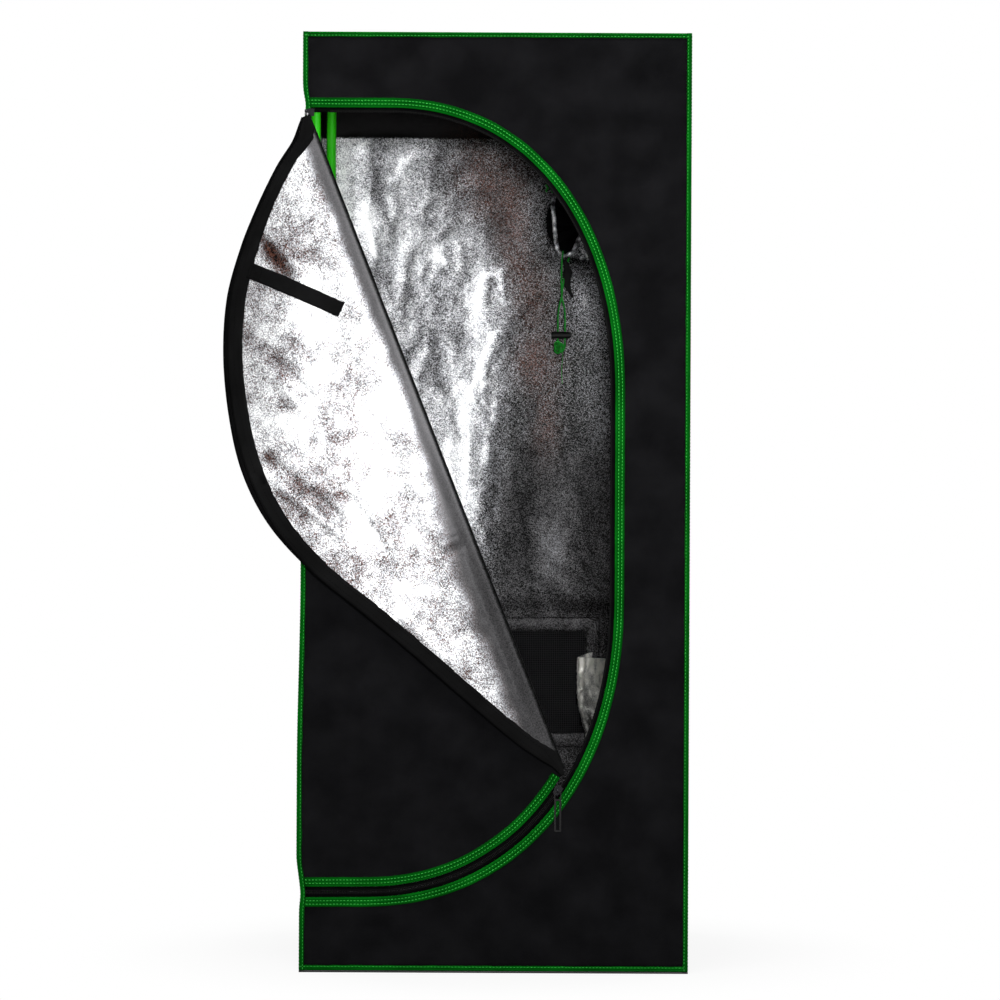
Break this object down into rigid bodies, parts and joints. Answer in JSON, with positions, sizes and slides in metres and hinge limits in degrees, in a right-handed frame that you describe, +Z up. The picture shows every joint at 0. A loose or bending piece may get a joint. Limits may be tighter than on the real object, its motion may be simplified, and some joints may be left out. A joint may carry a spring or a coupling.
{
  "type": "grow tent",
  "caption": "Square indoor grow tent: steel pole frame, mirror-lined black cloth, D-shaped zip door folded back, rear duct sleeve, vent window and tray.",
  "frame": {"origin": "middle of the underside of the floor panel, which stands on the ground", "axes": "+X to the right as seen from in front of the door, +Y to the back, +Z up"},
  "size_m": [0.7371, 0.7427, 1.475],
  "materials": {
    "black_cloth": "matt coated oxford cloth, lined with crinkled mirror film",
    "black_webbing": "matt woven tape",
    "green_binding": "woven binding with two rows of stitching",
    "green_steel": "gloss powder coat",
    "green_cord": "braided cord",
    "black_plastic": "moulded",
    "silver_lining": "crinkled mirror film on cloth",
    "zip_metal": "plated, slightly dull"
  },
  "bodies": {
    "tent": {"base_corner_front_left": "black_plastic", "base_corner_front_right": "black_plastic", "base_corner_rear_left": "black_plastic", "base_corner_rear_right": "black_plastic", "base_rail_front": "green_steel", "base_rail_left": "green_steel", "base_rail_rear": "green_steel", "base_rail_right": "green_steel", "top_corner_front_left": "black_plastic", "top_corner_front_right": "black_plastic", "top_corner_rear_left": "black_plastic", "top_corner_rear_right": "black_plastic", "top_rail_front": "green_steel", "top_rail_left": "green_steel", "top_rail_rear": "green_steel", "top_rail_right": "green_steel", "upright_lower_front_left": "green_steel", "upright_lower_front_right": "green_steel", "upright_lower_rear_left": "green_steel", "upright_lower_rear_right": "green_steel", "upright_upper_front_left": "green_steel", "upright_upper_front_right": "green_steel", "upright_upper_rear_left": "green_steel", "upright_upper_rear_right": "green_steel", "front_panel": "black_cloth", "rear_panel": "black_cloth", "left_panel": "black_cloth", "right_panel": "black_cloth", "roof_panel": "black_cloth", "floor_panel": "black_cloth", "edge_binding": "green_binding", "opening_trim": "green_binding", "opening_zip_tape": "black_webbing", "door_panel": "black_cloth", "door_trim": "green_binding", "door_zip_tape": "black_webbing", "door_fold": "black_cloth", "inner_duct_cuff": "silver_lining", "outer_duct_sleeve": "black_cloth", "inner_drawcord": "green_cord", "outer_drawcord": "green_cord", "vent_net": "black_webbing"},
    "front_hanging_bar": {"hanging_bar_front": "green_steel"},
    "rear_hanging_bar": {"hanging_bar_rear": "green_steel"},
    "door": {"door_flap": "black_cloth", "flap_trim": "green_binding", "flap_light_band": "black_webbing", "flap_zip_tape": "black_webbing"},
    "tie_strap": {"flap_tie_strap": "black_webbing"},
    "lower_slider": {"lower_zip_slider": "zip_metal"},
    "lower_pull": {"lower_zip_pull": "zip_metal"},
    "upper_slider": {"upper_zip_slider": "zip_metal"},
    "upper_pull": {"upper_zip_pull": "zip_metal"},
    "vent_cover": {"vent_flap": "silver_lining"},
    "cord_lock": {"inner_cord_lock": "black_plastic"},
    "lock_button": {"cord_lock_button": "black_plastic"},
    "tray": {"floor_tray": "black_cloth"}
  },
  "joints": [
    {"name": "door_fold_hinge", "type": "hinge", "parent": "tent", "child": "door", "pos_m": [-0.29363, -0.3089, 1.35346], "axis": [-0.3674, 0, 0.9301], "range_deg": [0, 175], "deforming": ["door_fold"]},
    {"name": "tie_strap_hinge", "type": "hinge", "parent": "door", "child": "tie_strap", "pos_m": [-0.3885, -0.2877, 1.101], "axis": [-0.3867, 0.2736, -0.8807], "range_deg": [0, 90]},
    {"name": "front_bar_slide", "type": "slide", "parent": "tent", "child": "front_hanging_bar", "axis": [0, -1, 0], "range_m": [-0.1, 0.105]},
    {"name": "rear_bar_slide", "type": "slide", "parent": "tent", "child": "rear_hanging_bar", "axis": [0, 1, 0], "range_m": [-0.1, 0.105]},
    {"name": "lower_slider_run", "type": "hinge", "parent": "tent", "child": "lower_slider", "pos_m": [-0.23963, -0.304, 0.51507], "axis": [0, -1, 0], "range_deg": [0, 6]},
    {"name": "lower_pull_swing", "type": "hinge", "parent": "lower_slider", "child": "lower_pull", "pos_m": [0.0998, -0.3093, 0.2854], "axis": [-1, 0, 0], "range_deg": [0, 150]},
    {"name": "upper_slider_run", "type": "slide", "parent": "tent", "child": "upper_slider", "axis": [1, 0, 0], "range_m": [0, 0.115]},
    {"name": "upper_pull_swing", "type": "hinge", "parent": "upper_slider", "child": "upper_pull", "pos_m": [-0.2995, -0.3093, 1.3464], "axis": [-1, 0, 0], "range_deg": [0, 150]},
    {"name": "vent_flap_hinge", "type": "hinge", "parent": "tent", "child": "vent_cover", "pos_m": [0.17, 0.3014, 0.4285], "axis": [0, 0, -1], "range_deg": [0, 100]},
    {"name": "cord_lock_slide", "type": "slide", "parent": "tent", "child": "cord_lock", "axis": [0, 0, 1], "range_m": [0, 0.02]},
    {"name": "lock_button_press", "type": "slide", "parent": "cord_lock", "child": "lock_button", "axis": [-1, 0, 0], "range_m": [0, 0.003], "stiffness_N_per_m": 30, "springref_m": -0.002},
    {"name": "tray_lift", "type": "slide", "parent": "tent", "child": "tray", "axis": [0, 0, 1], "range_m": [0, 0.1]}
  ]
}
